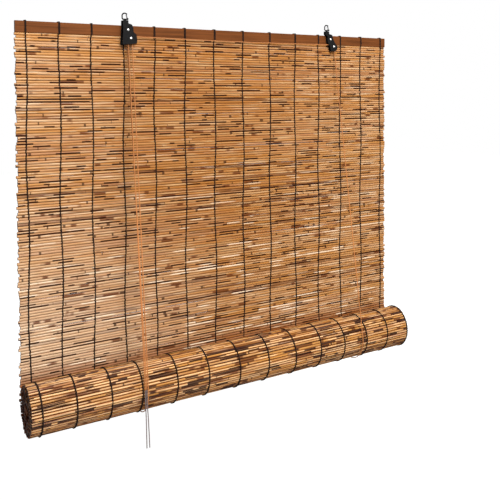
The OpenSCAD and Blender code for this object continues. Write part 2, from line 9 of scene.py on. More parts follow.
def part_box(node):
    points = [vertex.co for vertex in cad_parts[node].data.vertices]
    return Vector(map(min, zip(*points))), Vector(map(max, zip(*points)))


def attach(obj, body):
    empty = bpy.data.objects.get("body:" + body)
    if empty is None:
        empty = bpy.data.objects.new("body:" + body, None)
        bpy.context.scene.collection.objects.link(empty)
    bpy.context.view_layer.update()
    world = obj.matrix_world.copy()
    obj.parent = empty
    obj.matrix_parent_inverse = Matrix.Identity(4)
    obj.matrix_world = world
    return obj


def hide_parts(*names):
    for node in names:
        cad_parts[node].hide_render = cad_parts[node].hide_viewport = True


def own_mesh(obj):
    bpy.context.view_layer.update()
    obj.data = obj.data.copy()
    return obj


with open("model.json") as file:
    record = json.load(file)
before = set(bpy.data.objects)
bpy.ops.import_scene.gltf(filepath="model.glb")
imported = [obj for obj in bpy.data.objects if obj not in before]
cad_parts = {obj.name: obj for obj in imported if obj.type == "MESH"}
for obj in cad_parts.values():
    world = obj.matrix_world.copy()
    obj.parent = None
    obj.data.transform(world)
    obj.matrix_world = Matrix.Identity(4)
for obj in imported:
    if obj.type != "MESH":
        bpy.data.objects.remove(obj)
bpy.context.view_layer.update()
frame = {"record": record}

bl_info = {
    "name": "Reed Roll-up Blind",
    "version": (1, 0, 0),
    "blender": (4, 5, 0),
    "location": "3D View > Sidebar > Reed Blind",
    "description": "Dresses the frame of a hanging reed blind with reeds, stitching, cords and fittings",
    "category": "Object",
}

JOINTS = {joint["name"]: joint for joint in frame["record"]["behaviour"]["joints"]}

# Places taken from the frame, in metres
RAIL_LOW, RAIL_HIGH = (Vector(corner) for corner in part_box("head_rail"))
MAT_LOW, MAT_HIGH = (Vector(corner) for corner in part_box("reed_mat"))
LEFT_EDGE = MAT_LOW.x
RIGHT_EDGE = MAT_HIGH.x
MAT_Y = (RAIL_LOW.y + RAIL_HIGH.y) / 2
ROLL_Y, ROLL_Z = JOINTS["roll_turn"]["pos_m"][1:]
LEFT_AXLE_X, FRONT_SHEAVE_Y, AXLE_Z = JOINTS["left_front_sheave_turn"]["pos_m"]
RIGHT_AXLE_X, BACK_SHEAVE_Y = JOINTS["right_sheave_turn"]["pos_m"][:2]

# Sizes that the solids share, in metres
ROLL_RADIUS = 0.058
ROLL_TURNS = 7
ROLL_CORE = 0.0166
CORD_RADIUS = 0.0011
CORD_GAP = 0.0003
CORD_ON_ROLL = 0.0594
CORD_ON_SHEAVE = 0.0046
CASE_EXIT_Z = -0.074
KNOT_SEAT = 0.006
LEFT_KNOT_X = 0.012
RIGHT_KNOT_X = 0.576
KNOT_Z = -0.045
PULL_END_Z = -0.969
CROSS_SAG = 0.002

# Stitching rows: the cords hang beside one row on the left, and beside the third from the right
ROWS = 14
ROW_LEFT = 0.021
ROW_RIGHT = 0.017
ROW_WANDER = 0.010
CORD_ROW = 3
LASHED_ROWS = [k for k in range(ROWS) if k != CORD_ROW]

# Reeds: lengths along a course, uneven ends, straying, detail and thickness
REED_LENGTHS = (0.15, 0.60)
LAST_LENGTH = 0.25
STUB_LENGTH = 0.12
BUTT_GAP = 0.0006
MAT_RAGGED = 0.0025
ROLL_RAGGED = 0.0010
CORE_RAGGED = (-0.001, 0.003)
REED_TILT = 0.0004
REED_LEAN = 0.0008
COURSE_STRAY_Y = 0.00030
COURSE_STRAY_Z = 0.00015
REED_SIDES = 8
REED_RINGS = 25
CORE_SIDES = 7
CORE_RINGS = 9
JOINT_RINGS = 8
MAT_BOW = 0.10
MAT_SPREAD = 0.05
ROLL_SPREAD = 0.08
ROLL_REED_SHARE = 0.88
CORE_REED_SHARES = (0.80, 1.0)
ROLL_START = 0.06
CORE_START = 0.05

# Stitches: how the rows sway, and how far round the roll they are seen
SWAY_STEP = 0.11
MAT_SWAY = 0.0022
ROLL_SWAY = 0.0009
STITCH_STRAY = 0.0003
STITCHED_SHARE = 0.90
HIDDEN_BY_ROLL = 0.024
ROLL_THREAD_SHARE = 1.1
LASHING_SHARE = 0.62
LASHING_CORNER = 0.0012

# How far the stitching wanders to the right as the mat is wound, apart from the row beside the cords
ROLL_DRIFT = 0.013
DRIFT_ROWS = 6

# How far the ends of the pull cords swing to the right
LEFT_TAIL_DRIFT = 0.002
RIGHT_TAIL_DRIFT = 0.005

# Lay of the cords and threads
CORD_PLIES = 2
CORD_LAY = 0.009
CORD_DEPTH = 0.16
CORD_SPACING = 0.0015
LASHING_SPACING = 0.0008

# Camera that matches the photograph's view
CAMERA_PLACE = (-0.5589, -1.6505, -0.1800)
CAMERA_YAW = math.radians(34.31)
CAMERA_PITCH = math.radians(-1.76)
CAMERA_ROLL = math.radians(-0.13)
CAMERA_LENS = 52.58
CAMERA_SENSOR = 36
CAMERA_SHIFT_X = -0.1592
CAMERA_SHIFT_Y = -0.2710

# Stage: each lamp's name, place, target, size and power, the floor and the light around
LAMPS = (
    ("key_light", (0.1, -2.5, 1.2), (0.2, 0.0, -0.5), 1.2, 108),
    ("fill_light", (2.0, -2.2, -0.1), (0.2, 0.0, -0.5), 2.4, 18),
    ("top_light", (0.2, -1.1, 1.4), (0.2, 0.0, -0.8), 0.9, 26),
    ("back_light", (1.4, 2.4, 0.4), (0.3, 0.0, -0.5), 2.0, 30),
)
FLOOR_Z = -1.30
FLOOR_HALF = 9.0
FLOOR_GREY = (0.40, 0.40, 0.40)
SURROUND_FILL = 0.22

# Colours that only the shaders mix in
WHITE = (1.0, 1.0, 1.0)
PALE_REED = (0.72, 0.54, 0.375)
# Painted highlight colours for the crowns of the hanging and the rolled reeds
HIGHLIGHT_PAINT = (0.80, 0.64, 0.465)
WARM_HIGHLIGHT_PAINT = (0.86, 0.54, 0.27)
MAT_TINT = (0.92, 0.87, 0.79)
# Painted shade: for the grooves between reeds and for the roll's shadow on the mat
PAINTED_SHADE = (0.42, 0.18, 0.05)
FIBRE_TINT = (0.42, 0.37, 0.33)
MIDDLE_TINT = (0.68, 0.54, 0.33)
# Painted shade for the cut ends of the reeds
END_SHADE_DARK = (0.018, 0.006, 0.003)
END_SHADE_BROWN = (0.095, 0.034, 0.016)
TAIL_GREY = (0.16, 0.12, 0.115)
WORN_THREAD = (0.030, 0.016, 0.010)
WORN_BLACK = (0.014, 0.013, 0.013)
DULL_PLATE = (0.66, 0.65, 0.63)
CLEAR_PLATE = (0.86, 0.85, 0.83)


def row_x(k):
    """Place of stitching row k along the blind."""
    share = k / (ROWS - 1)
    width = RIGHT_EDGE - LEFT_EDGE - ROW_LEFT - ROW_RIGHT
    return LEFT_EDGE + ROW_LEFT + width * share - ROW_WANDER * math.sin(math.tau * share)


# Where the cords meet the roll and the sheaves
LEFT_SLING_X = row_x(CORD_ROW) + 0.011
RIGHT_SLING_X = row_x(ROWS - 3) - 0.0045
LEFT_PULL_X = row_x(CORD_ROW) + 0.004
RIGHT_PULL_X = row_x(CORD_ROW) + 0.0075
PULL_X = LEFT_AXLE_X - CORD_ON_SHEAVE
LEFT_LIFT_X = LEFT_AXLE_X + CORD_ON_SHEAVE
RIGHT_LIFT_X = RIGHT_AXLE_X + CORD_ON_SHEAVE
CROSS_MIDDLE = Vector(((LEFT_AXLE_X + RIGHT_AXLE_X) / 2, BACK_SHEAVE_Y,
                       AXLE_Z + CORD_ON_SHEAVE - CROSS_SAG))
ALONG_X = Vector((1, 0, 0))
ALONG_Y = Vector((0, 1, 0))


def size_setting(name, description, default):
    """A length that a user can change."""
    return bpy.props.FloatProperty(name=name, description=description, default=default, unit="LENGTH")


def colour_setting(name, description, default):
    """A colour that a user can change."""
    return bpy.props.FloatVectorProperty(
        name=name, description=description, default=default, subtype="COLOR", size=3)


class BlindSettings(bpy.types.PropertyGroup):
    """Sizes and colours of the blind that a user would change."""

    reed_pitch: size_setting("Reed Spacing", "Distance from one reed to the next", 0.0060)
    reed_radius: size_setting("Reed Radius", "Mean radius of a reed", 0.00330)
    reed_seed: bpy.props.IntProperty(
        name="Reed Seed", description="Seed of the reeds' lengths, widths and tones", default=11)
    thread_radius: size_setting("Thread Radius", "Radius of one stitching strand", 0.00165)
    reed_light: colour_setting("Light Reed", "Colour of the palest reeds", (0.55, 0.325, 0.165))
    reed_golden: colour_setting("Golden Reed", "Colour of the yellow reeds", (0.50, 0.222, 0.044))
    reed_rose: colour_setting("Rose Reed", "Colour of the pinkish reeds", (0.44, 0.21, 0.10))
    reed_brown: colour_setting("Brown Reed", "Colour of the stained reeds", (0.110, 0.024, 0.0025))
    fleck: colour_setting("Fleck", "Colour of the dark sheath marks", (0.028, 0.005, 0.0008))
    rail: colour_setting("Rail Wood", "Colour of the rails", (0.098, 0.030, 0.007))
    thread: colour_setting("Thread", "Colour of the stitching", (0.008, 0.004, 0.003))
    cord: colour_setting("Cord", "Colour of the lift cords", (0.50, 0.180, 0.045))
    black: colour_setting("Black Paint", "Colour of the pulley cases and hooks", (0.004, 0.004, 0.004))


def settings():
    """The settings of this scene."""
    return bpy.context.scene.reed_blind


# Node trees


class NodeTree:
    """A node tree with short calls to fill it."""

    def __init__(self, tree):
        self.tree = tree

    def add(self, kind, values=None, **properties):
        """A new node with its properties and inputs set."""
        made = self.tree.nodes.new(kind)
        for key, value in properties.items():
            setattr(made, key, value)
        for key, value in (values or {}).items():
            self.feed(made.inputs[key], value)
        return made

    def link(self, source, target):
        """Joins an output to an input."""
        self.tree.links.new(source, target)

    def feed(self, target, value):
        """Sets an input from a value, a colour or another node's output."""
        if isinstance(value, bpy.types.NodeSocket):
            self.link(value, target)
        elif target.type == "RGBA":
            target.default_value = (*value, 1.0)
        else:
            target.default_value = value

    def math(self, operation, *values):
        """A sum of numbers or outputs."""
        return self.add("ShaderNodeMath", dict(enumerate(values)), operation=operation).outputs[0]

    def axis(self, vector, name):
        """One part of a vector."""
        return self.add("ShaderNodeSeparateXYZ", {0: vector}).outputs[name]

    def vector(self, x, y, z):
        """A vector from three numbers or outputs."""
        return self.add("ShaderNodeCombineXYZ", {"X": x, "Y": y, "Z": z}).outputs[0]


class Shading(NodeTree):
    """A shader tree with the blends, textures and coordinates that the finishes use."""

    def __init__(self, owner):
        owner.use_nodes = True
        super().__init__(owner.node_tree)
        self.tree.nodes.clear()

    def surface(self, shader, output="ShaderNodeOutputMaterial"):
        """Ends the tree with a shader."""
        self.link(shader, self.add(output).inputs["Surface"])

    def mix(self, factor, first, second, blend="MIX"):
        """A blend of two colours."""
        made = self.add("ShaderNodeMix", {"Factor": factor, 6: first, 7: second},
                        data_type="RGBA", blend_type=blend)
        return made.outputs[2]

    def ramp(self, factor, *stops):
        """Colours along a number, from pairs of place and colour."""
        made = self.add("ShaderNodeValToRGB", {"Fac": factor})
        elements = made.color_ramp.elements
        while len(elements) < len(stops):
            elements.new(0.5)
        for element, (place, colour) in zip(elements, stops):
            element.position = place
            element.color = (*colour, 1.0)
        return made.outputs["Color"]

    def step(self, value, low, high, to_low=0.0, to_high=1.0):
        """A number carried from one range to another."""
        return self.add("ShaderNodeMapRange", {
            "Value": value, "From Min": low, "From Max": high,
            "To Min": to_low, "To Max": to_high}, clamp=True).outputs["Result"]

    def noise(self, vector, scale=1.0, detail=3.0, roughness=0.55):
        """Smooth noise on a vector."""
        return self.add("ShaderNodeTexNoise", {
            "Vector": vector, "Scale": scale, "Detail": detail, "Roughness": roughness}).outputs["Fac"]

    def attribute(self, name):
        """A number stored on the piece."""
        return self.add("ShaderNodeAttribute", attribute_name=name).outputs["Fac"]

    def place(self, scale=(1, 1, 1)):
        """Object coordinates, stretched."""
        coordinates = self.add("ShaderNodeTexCoord").outputs["Object"]
        return self.add("ShaderNodeMapping", {"Vector": coordinates, "Scale": scale}).outputs["Vector"]

    def normal(self, kind="Normal"):
        """The surface's direction in the piece's own axes."""
        seen = self.add("ShaderNodeNewGeometry").outputs[kind]
        return self.add("ShaderNodeVectorTransform", {0: seen}, vector_type="NORMAL",
                        convert_from="WORLD", convert_to="OBJECT").outputs[0]

    def vectors(self, operation, *vectors, output="Vector"):
        """A sum of vectors."""
        made = self.add("ShaderNodeVectorMath", dict(enumerate(vectors)), operation=operation)
        return made.outputs[output]

    def away_from(self, middle, direction):
        """How far a direction points away from an axis along X."""
        arm = self.vectors("MULTIPLY", self.vectors("SUBTRACT", self.place(), middle), (0, 1, 1))
        arm = self.vectors("NORMALIZE", arm)
        return self.vectors("DOT_PRODUCT", arm, direction, output="Value")


class Finish(Shading):
    """A material with one principled shader."""

    def __init__(self, name):
        self.material = bpy.data.materials.new(name)
        super().__init__(self.material)
        self.shader = self.add("ShaderNodeBsdfPrincipled")
        self.surface(self.shader.outputs["BSDF"])

    def bump(self, height, strength, distance):
        """Relief from a height."""
        made = self.add("ShaderNodeBump", {"Height": height, "Strength": strength, "Distance": distance})
        self.link(made.outputs["Normal"], self.shader.inputs["Normal"])

    def finish(self, **values):
        """Sets the shader's inputs and gives the material."""
        for name, value in values.items():
            self.feed(self.shader.inputs[name.replace("_", " ")], value)
        return self.material


class ReedFinish(Finish):
    """Reed skin: each reed its own tone, with dark sheath marks, painted highlights on the crowns and painted
    shade in the grooves between reeds.
    """

    def __init__(self, name):
        super().__init__(name)
        self.lane = self.math("MULTIPLY", self.attribute("mark"), 61.0)
        self.along = self.axis(self.place(), "X")

    def per_reed(self, shift, scale, detail):
        """Noise that runs along a reed and changes from reed to reed."""
        return self.noise(self.vector(self.along, self.math("ADD", self.lane, shift), 0.0), scale, detail)

    def tones(self, pale_share):
        """The reeds' own colours, with paler stretches."""
        look = settings()
        base = self.ramp(
            self.attribute("tone"),
            (0.00, look.reed_brown), (0.04, look.reed_brown), (0.14, look.reed_rose),
            (0.42, look.reed_golden), (0.72, look.reed_light), (1.00, look.reed_rose))
        golden = self.step(self.per_reed(0.0, 9.0, 2.0), 0.35, 0.65, 0.0, 0.6)
        base = self.mix(golden, base, look.reed_golden)
        pale = self.noise(self.place((13, 330, 330)), detail=2.0)
        return self.mix(self.step(pale, 0.53, 0.63, 0.0, pale_share), base, PALE_REED)

    def coat(self, base, crown, lower, groove, highlight_paint, stained_from, highlight_from, marked_from, gloss, rough):
        """Adds stains, painted highlights on the crowns, sheath marks that on the hanging mat are partly
        painted shade, painted shade in the grooves, fibres and cut ends darkened with painted shade.
        """
        look = settings()
        stain = self.step(self.per_reed(9.0, 14.0, 2.0), stained_from, stained_from + 0.03, 0.0, 0.85)
        base = self.mix(stain, base, look.reed_brown)
        # Painted highlights: pale streaks along the crown of each reed, where the light falls
        lit = self.step(self.per_reed(47.0, 8.0, 1.0), highlight_from, highlight_from + 0.04)
        lit = self.math("MULTIPLY", self.math("MULTIPLY", lit, crown), 0.8)
        base = self.mix(lit, base, highlight_paint)
        # Sheath marks as dark dashes where the lower mask allows. On the hanging mat that is each reed's
        # underside, so there the dashes are partly real marks and partly painted shade between reeds
        dash = self.step(self.per_reed(33.0, 11.0, 1.0), marked_from, marked_from + 0.008)
        dash = self.math("MULTIPLY", self.math("MULTIPLY", dash, lower), 0.95)
        tick = self.math("MULTIPLY", self.step(self.per_reed(21.0, 60.0, 1.0), 0.70, 0.72), 0.8)
        marks = self.math("MAXIMUM", dash, tick)
        colour = self.mix(marks, base, look.fleck)
        # Painted shade: darkens each reed where its surface turns towards its neighbours
        colour = self.mix(groove, colour, PAINTED_SHADE, "MULTIPLY")
        fibre = self.noise(self.place((30, 1700, 1700)))
        colour = self.mix(0.5, colour, self.ramp(fibre, (0.30, FIBRE_TINT), (0.62, WHITE)), "MULTIPLY")
        # Painted shade: the cut ends of the reeds are coloured near black-brown, as the unlit end of the roll
        # looks
        cut = self.math("ABSOLUTE", self.axis(self.normal("True Normal"), "X"))
        cut = self.step(cut, 0.72, 0.9)
        end_shade = self.noise(self.place((700, 700, 700)), detail=2.0)
        colour = self.mix(cut, colour, self.ramp(end_shade, (0.38, END_SHADE_DARK), (0.66, END_SHADE_BROWN)))
        self.bump(fibre, 0.35, 0.0004)
        return self.finish(
            Base_Color=colour, Roughness=self.step(marks, 0.0, 1.0, rough, rough + 0.22),
            Specular_IOR_Level=self.step(cut, 0.0, 1.0, gloss, 0.05))


# Finishes


def hanging_material(name):
    """Reeds of the hanging mat, paler at its lower left, browner in its middle and darker just above the roll
    with a painted shadow.
    """
    shade = ReedFinish(name)
    along = shade.along
    height = shade.axis(shade.place(), "Z")
    base = shade.mix(0.10, shade.tones(0.72), PALE_REED)
    base = shade.mix(1.0, base, MAT_TINT, "MULTIPLY")
    sides = shade.math("MULTIPLY", shade.step(along, -0.23, 0.07, 0.0, 0.8),
                       shade.step(along, 0.27, 0.70, 1.0, 0.4))
    middle = shade.math("MULTIPLY", sides, shade.step(height, -0.80, -0.55, 0.3, 1.0))
    base = shade.mix(middle, base, MIDDLE_TINT, "MULTIPLY")
    low_left = shade.math("MULTIPLY", shade.step(height, -0.75, -0.40, 0.52, 0.0),
                          shade.step(along, -0.15, 0.25, 1.0, 0.0))
    base = shade.mix(low_left, base, PALE_REED)
    # Painted shadow: the mat darkens in a band just above the roll, where the roll shades it
    base = shade.mix(shade.step(height, -0.815, -0.776, 0.95, 0.0), base, PAINTED_SHADE, "MULTIPLY")
    normal = shade.normal()
    facing = shade.math("ABSOLUTE", shade.axis(normal, "Y"))
    upward = shade.axis(normal, "Z")
    # The upper side of each reed, where the painted highlights go, with more of them lower down
    crown = shade.math("MULTIPLY", shade.step(height, -0.62, -0.30, 1.0, 0.22),
                       shade.step(upward, 0.05, 0.35))
    return shade.coat(
        # lower: each reed's underside, where the dark dashes are partly sheath marks and partly painted shade
        base, crown, lower=shade.step(upward, 0.05, 0.35, 1.0, 0.0),
        # groove: painted shade where the reeds' faces turn up or down towards their neighbours
        groove=shade.step(facing, 0.28, 0.78, 0.8, 0.0), highlight_paint=HIGHLIGHT_PAINT,
        stained_from=0.640, highlight_from=0.615, marked_from=0.585, gloss=0.08, rough=0.42)


def rolled_material(name):
    """Reeds of the roll, glossier and with more stains."""
    shade = ReedFinish(name)
    facing = shade.away_from((0.0, ROLL_Y, ROLL_Z), shade.normal())
    patchy = shade.noise(shade.place((6, 400, 400)), detail=1.0)
    return shade.coat(
        # crown: the outer side of each reed, where the painted highlights go
        shade.tones(0.30), crown=shade.step(facing, 0.86, 0.96), lower=shade.step(patchy, 0.42, 0.48),
        # groove: painted shade on the sides of the reeds, away from the roll's outside
        groove=shade.step(facing, 0.40, 0.86, 1.0, 0.0), highlight_paint=WARM_HIGHLIGHT_PAINT,
        stained_from=0.565, highlight_from=0.51, marked_from=0.560, gloss=0.16, rough=0.34)


def thread_material(name):
    """Dark twisted stitching thread."""
    shade = Finish(name)
    twist = shade.noise(shade.place((900, 900, 1600)), detail=2.0)
    colour = shade.ramp(twist, (0.40, settings().thread), (0.80, WORN_THREAD))
    shade.bump(twist, 0.4, 0.0003)
    rough = shade.step(twist, 0.2, 0.8, 0.65, 0.85)
    return shade.finish(Base_Color=colour, Roughness=rough, Specular_IOR_Level=0.10)


def rail_material(name):
    """Stained flat wood with its grain along the rail."""
    look = settings()
    shade = Finish(name)
    grain = shade.noise(shade.place((5, 260, 260)), detail=5.0, roughness=0.65)
    patch = shade.noise(shade.place((9, 30, 30)), detail=2.0)
    tint = [min(1.0, channel * 1.7) for channel in look.rail]
    deep = [channel * 0.45 for channel in look.rail]
    colour = shade.ramp(grain, (0.28, deep), (0.50, look.rail), (0.74, tint))
    colour = shade.mix(shade.step(patch, 0.35, 0.7, 0.0, 0.45), colour, tint)
    shade.bump(grain, 0.25, 0.0006)
    rough = shade.step(grain, 0.2, 0.8, 0.62, 0.45)
    return shade.finish(Base_Color=colour, Roughness=rough, Specular_IOR_Level=0.06)


def cord_material(name):
    """Two-ply cord of orange brown fibre."""
    return laid_material(name, settings().cord)


def tail_material(name):
    """The grey lower ends of the pull cords."""
    return laid_material(name, TAIL_GREY)


def laid_material(name, hue):
    """Twisted fibre with painted shade between its plies, and darker towards the head rail."""
    shade = Finish(name)
    fibre = shade.noise(shade.place((2400, 2400, 900)))
    dark = [channel * 0.55 for channel in hue]
    pale = [min(1.0, channel * 1.45) for channel in hue]
    colour = shade.ramp(fibre, (0.25, dark), (0.50, hue), (0.78, pale))
    # Painted shade: the fibre darkens in the grooves between the plies
    colour = shade.mix(shade.step(shade.attribute("groove"), 0.0, 0.6, 0.75, 0.0), colour, dark)
    height = shade.axis(shade.place(), "Z")
    colour = shade.mix(shade.step(height, -0.55, -0.15, 0.0, 0.7), colour, dark)
    shade.bump(fibre, 0.35, 0.0002)
    return shade.finish(Base_Color=colour, Roughness=shade.step(fibre, 0.2, 0.8, 0.65, 0.9))


def black_material(name):
    """Black paint on folded sheet and wire."""
    shade = Finish(name)
    speck = shade.noise(shade.place((700, 700, 700)))
    colour = shade.ramp(speck, (0.40, settings().black), (0.80, WORN_BLACK))
    shade.bump(speck, 0.15, 0.0002)
    rough = shade.step(speck, 0.3, 0.7, 0.34, 0.5)
    return shade.finish(Base_Color=colour, Roughness=rough, Specular_IOR_Level=0.05)


def bright_material(name):
    """Bright plated steel of the screws, axles, wheels and cord lock."""
    shade = Finish(name)
    haze = shade.noise(shade.place((500, 500, 500)))
    colour = shade.ramp(haze, (0.30, DULL_PLATE), (0.75, CLEAR_PLATE))
    shade.bump(haze, 0.08, 0.0001)
    return shade.finish(Base_Color=colour, Metallic=1.0, Roughness=shade.step(haze, 0.2, 0.8, 0.18, 0.34))


FINISHES = {
    "hanging_skin": hanging_material,
    "rolled_skin": rolled_material,
    "stitching_thread": thread_material,
    "stained_rail": rail_material,
    "twisted_cord": cord_material,
    "grey_cord": tail_material,
    "black_paint": black_material,
    "bright_plate": bright_material,
}


def finish(name):
    """A finish that is made on first use and shared afterwards."""
    return bpy.data.materials.get(name) or FINISHES[name](name)


# Meshes


def new_piece(name, mesh):
    """An object at the origin with that mesh."""
    piece = bpy.data.objects.new(name, mesh)
    bpy.context.scene.collection.objects.link(piece)
    return piece


def seat(piece, body, slot, *nodes):
    """Makes a piece ride on a body and hides the solids it stands for."""
    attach(piece, body)
    if nodes:
        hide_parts(*nodes)


def lift_squash(piece):
    """Gives a hanging piece its own copy of its mesh."""
    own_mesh(piece)


def smooth_route(points, spacing):
    """Even points along a smooth curve through the route's points."""
    spline = []
    last = len(points) - 1
    for i in range(last):
        before = points[i - 1] if i else points[0] * 2 - points[1]
        after = points[i + 2] if i + 2 <= last else points[last] * 2 - points[last - 1]
        here, there = points[i], points[i + 1]
        span = (there - here).length
        lead = (there - before).normalized() * span / 3
        tail = (after - here).normalized() * span / 3
        count = max(2, int(span / spacing))
        for k in range(count):
            t = k / count
            u = 1 - t
            spline.append(here * u ** 3 + (here + lead) * 3 * u * u * t
                          + (there - tail) * 3 * u * t * t + there * t ** 3)
    spline.append(points[last])
    return spline


def twisted_tube(name, route, radius, flat, material, sides=12):
    """A laid cord along a route: a lobed section that turns as it goes."""
    verts, faces, grooves = [], [], []
    travelled = 0.0
    for i, here in enumerate(route):
        ahead = route[min(i + 1, len(route) - 1)]
        behind = route[max(i - 1, 0)]
        way = (ahead - behind).normalized()
        out = (flat - way * flat.dot(way)).normalized()
        side = way.cross(out)
        if i:
            travelled += (here - behind).length
        turn = math.tau * travelled / CORD_LAY
        for k in range(sides):
            angle = math.tau * k / sides
            lobe = abs(math.cos(CORD_PLIES * (angle - turn) / 2))
            reach = radius * (1 + CORD_DEPTH * (lobe - 0.65))
            verts.append(here + (out * math.cos(angle) + side * math.sin(angle)) * reach)
            grooves.append(lobe)
    for i in range(len(route) - 1):
        for k in range(sides):
            n = (k + 1) % sides
            faces.append((i * sides + k, i * sides + n, (i + 1) * sides + n, (i + 1) * sides + k))
    faces.append(tuple(reversed(range(sides))))
    start = (len(route) - 1) * sides
    faces.append(tuple(range(start, start + sides)))
    mesh = bpy.data.meshes.new(name)
    mesh.from_pydata(verts, [], faces)
    mesh.attributes.new("groove", "FLOAT", "POINT").data.foreach_set("value", grooves)
    mesh.polygons.foreach_set("use_smooth", [len(face) == 4 for face in faces])
    mesh.materials.append(material)
    return new_piece(name, mesh)


class Layout:
    """Collects the points that say where each copy goes, and how it is turned, sized and toned."""

    def __init__(self, seed):
        self.chance = random.Random(seed)
        self.places, self.turns, self.sizes, self.tones, self.marks = [], [], [], [], []

    def put(self, place, turn, size, tone):
        """Adds one copy."""
        self.places.append(place)
        self.turns.append(turn)
        self.sizes.append(size)
        self.tones.append(tone)
        self.marks.append(self.chance.random())

    def piece(self, name):
        """The points as an object."""
        mesh = bpy.data.meshes.new(name)
        mesh.from_pydata(self.places, [], [])
        for key, values in (("turn", self.turns), ("size", self.sizes)):
            data = mesh.attributes.new(key, "FLOAT_VECTOR", "POINT").data
            data.foreach_set("vector", [number for value in values for number in value])
        for key, values in (("tone", self.tones), ("mark", self.marks)):
            mesh.attributes.new(key, "FLOAT", "POINT").data.foreach_set("value", values)
        return new_piece(name, mesh)


class ReedLayout(Layout):
    """Collects the points of many reeds."""

    def __init__(self, seed, darkest=0.0, palest=1.0):
        super().__init__(seed)
        self.range = darkest, palest

    def reed(self, start, end, y, z, radius):
        """Adds one reed from start to end along the blind."""
        tilt = self.chance.gauss(0.0, REED_TILT)
        lean = self.chance.gauss(0.0, REED_LEAN)
        roll = self.chance.randrange(REED_SIDES) * math.tau / REED_SIDES
        size = (end - start - BUTT_GAP, radius, radius)
        self.put(((start + end) / 2, y, z), (roll, tilt, lean), size, self.chance.uniform(*self.range))

    def course(self, y, z, radius, spread, ragged):
        """Adds one course of butted reeds."""
        for start, end in self.runs_across(ragged):
            wide = radius * self.chance.uniform(1 - spread, 1 + spread)
            self.reed(start, end, y + self.chance.gauss(0, COURSE_STRAY_Y), z, wide)

    def runs_across(self, ragged):
        """Splits one course into reeds that butt somewhere along the blind, with uneven ends."""
        ends = [LEFT_EDGE + self.chance.uniform(-ragged, ragged)]
        while ends[-1] < RIGHT_EDGE - LAST_LENGTH:
            ends.append(ends[-1] + self.chance.uniform(*REED_LENGTHS))
        if RIGHT_EDGE - ends[-1] < STUB_LENGTH and len(ends) > 2:
            ends.pop()
        elif RIGHT_EDGE > ends[-1]:
            ends.append(RIGHT_EDGE)
        ends[-1] = RIGHT_EDGE + self.chance.uniform(-ragged, ragged)
        return list(zip(ends[:-1], ends[1:]))


class NodeSteps(NodeTree):
    """A Geometry Nodes tree that copies a shape to every point of a layout."""

    def __init__(self, name, inputs):
        super().__init__(bpy.data.node_groups.new(name, "GeometryNodeTree"))
        face = self.tree.interface
        for way in ("INPUT", "OUTPUT"):
            face.new_socket(name="Geometry", in_out=way, socket_type="NodeSocketGeometry")
        self.sockets = {}
        for key, (kind, value) in inputs.items():
            socket = face.new_socket(name=key, in_out="INPUT", socket_type=kind)
            socket.default_value = value
            self.sockets[key] = socket.identifier
        self.given = self.add("NodeGroupInput")
        self.result = self.add("NodeGroupOutput")

    def named(self, name, kind):
        """A value stored on the points."""
        made = self.add("GeometryNodeInputNamedAttribute", {"Name": name}, data_type=kind)
        return made.outputs["Attribute"]

    def copies(self, shape, material):
        """Copies a shape to every point, makes it real and ends the tree."""
        turn = self.add("FunctionNodeEulerToRotation", {0: self.named("turn", "FLOAT_VECTOR")})
        placed = self.add("GeometryNodeInstanceOnPoints", {
            "Points": self.given.outputs["Geometry"], "Instance": shape,
            "Rotation": turn.outputs[0], "Scale": self.named("size", "FLOAT_VECTOR")})
        real = self.add("GeometryNodeRealizeInstances", {"Geometry": placed.outputs[0]})
        round_faces = self.add("GeometryNodeSetShadeSmooth", {0: real.outputs[0]}, domain="FACE")
        angle = self.add("GeometryNodeInputMeshEdgeAngle")
        sharp = self.add("FunctionNodeCompare", {0: angle.outputs["Unsigned Angle"], 1: 1.0},
                         data_type="FLOAT", operation="GREATER_THAN")
        edges = self.add("GeometryNodeSetShadeSmooth", {
            0: round_faces.outputs[0], "Selection": sharp.outputs[0], "Shade Smooth": False},
            domain="EDGE")
        done = self.add("GeometryNodeSetMaterial", {"Geometry": edges.outputs[0], "Material": material})
        self.link(done.outputs[0], self.result.inputs[0])

    def run(self, points, values):
        """Runs the tree on a cloud of points and leaves a plain mesh."""
        modifier = points.modifiers.new(points.name, "NODES")
        modifier.node_group = self.tree
        for key, value in values.items():
            modifier[self.sockets[key]] = value
        graph = bpy.context.evaluated_depsgraph_get()
        mesh = bpy.data.meshes.new_from_object(
            points.evaluated_get(graph), preserve_all_data_layers=True, depsgraph=graph)
        points.modifiers.clear()
        old = points.data
        points.data = mesh
        bpy.data.meshes.remove(old)
        mesh.name = points.name


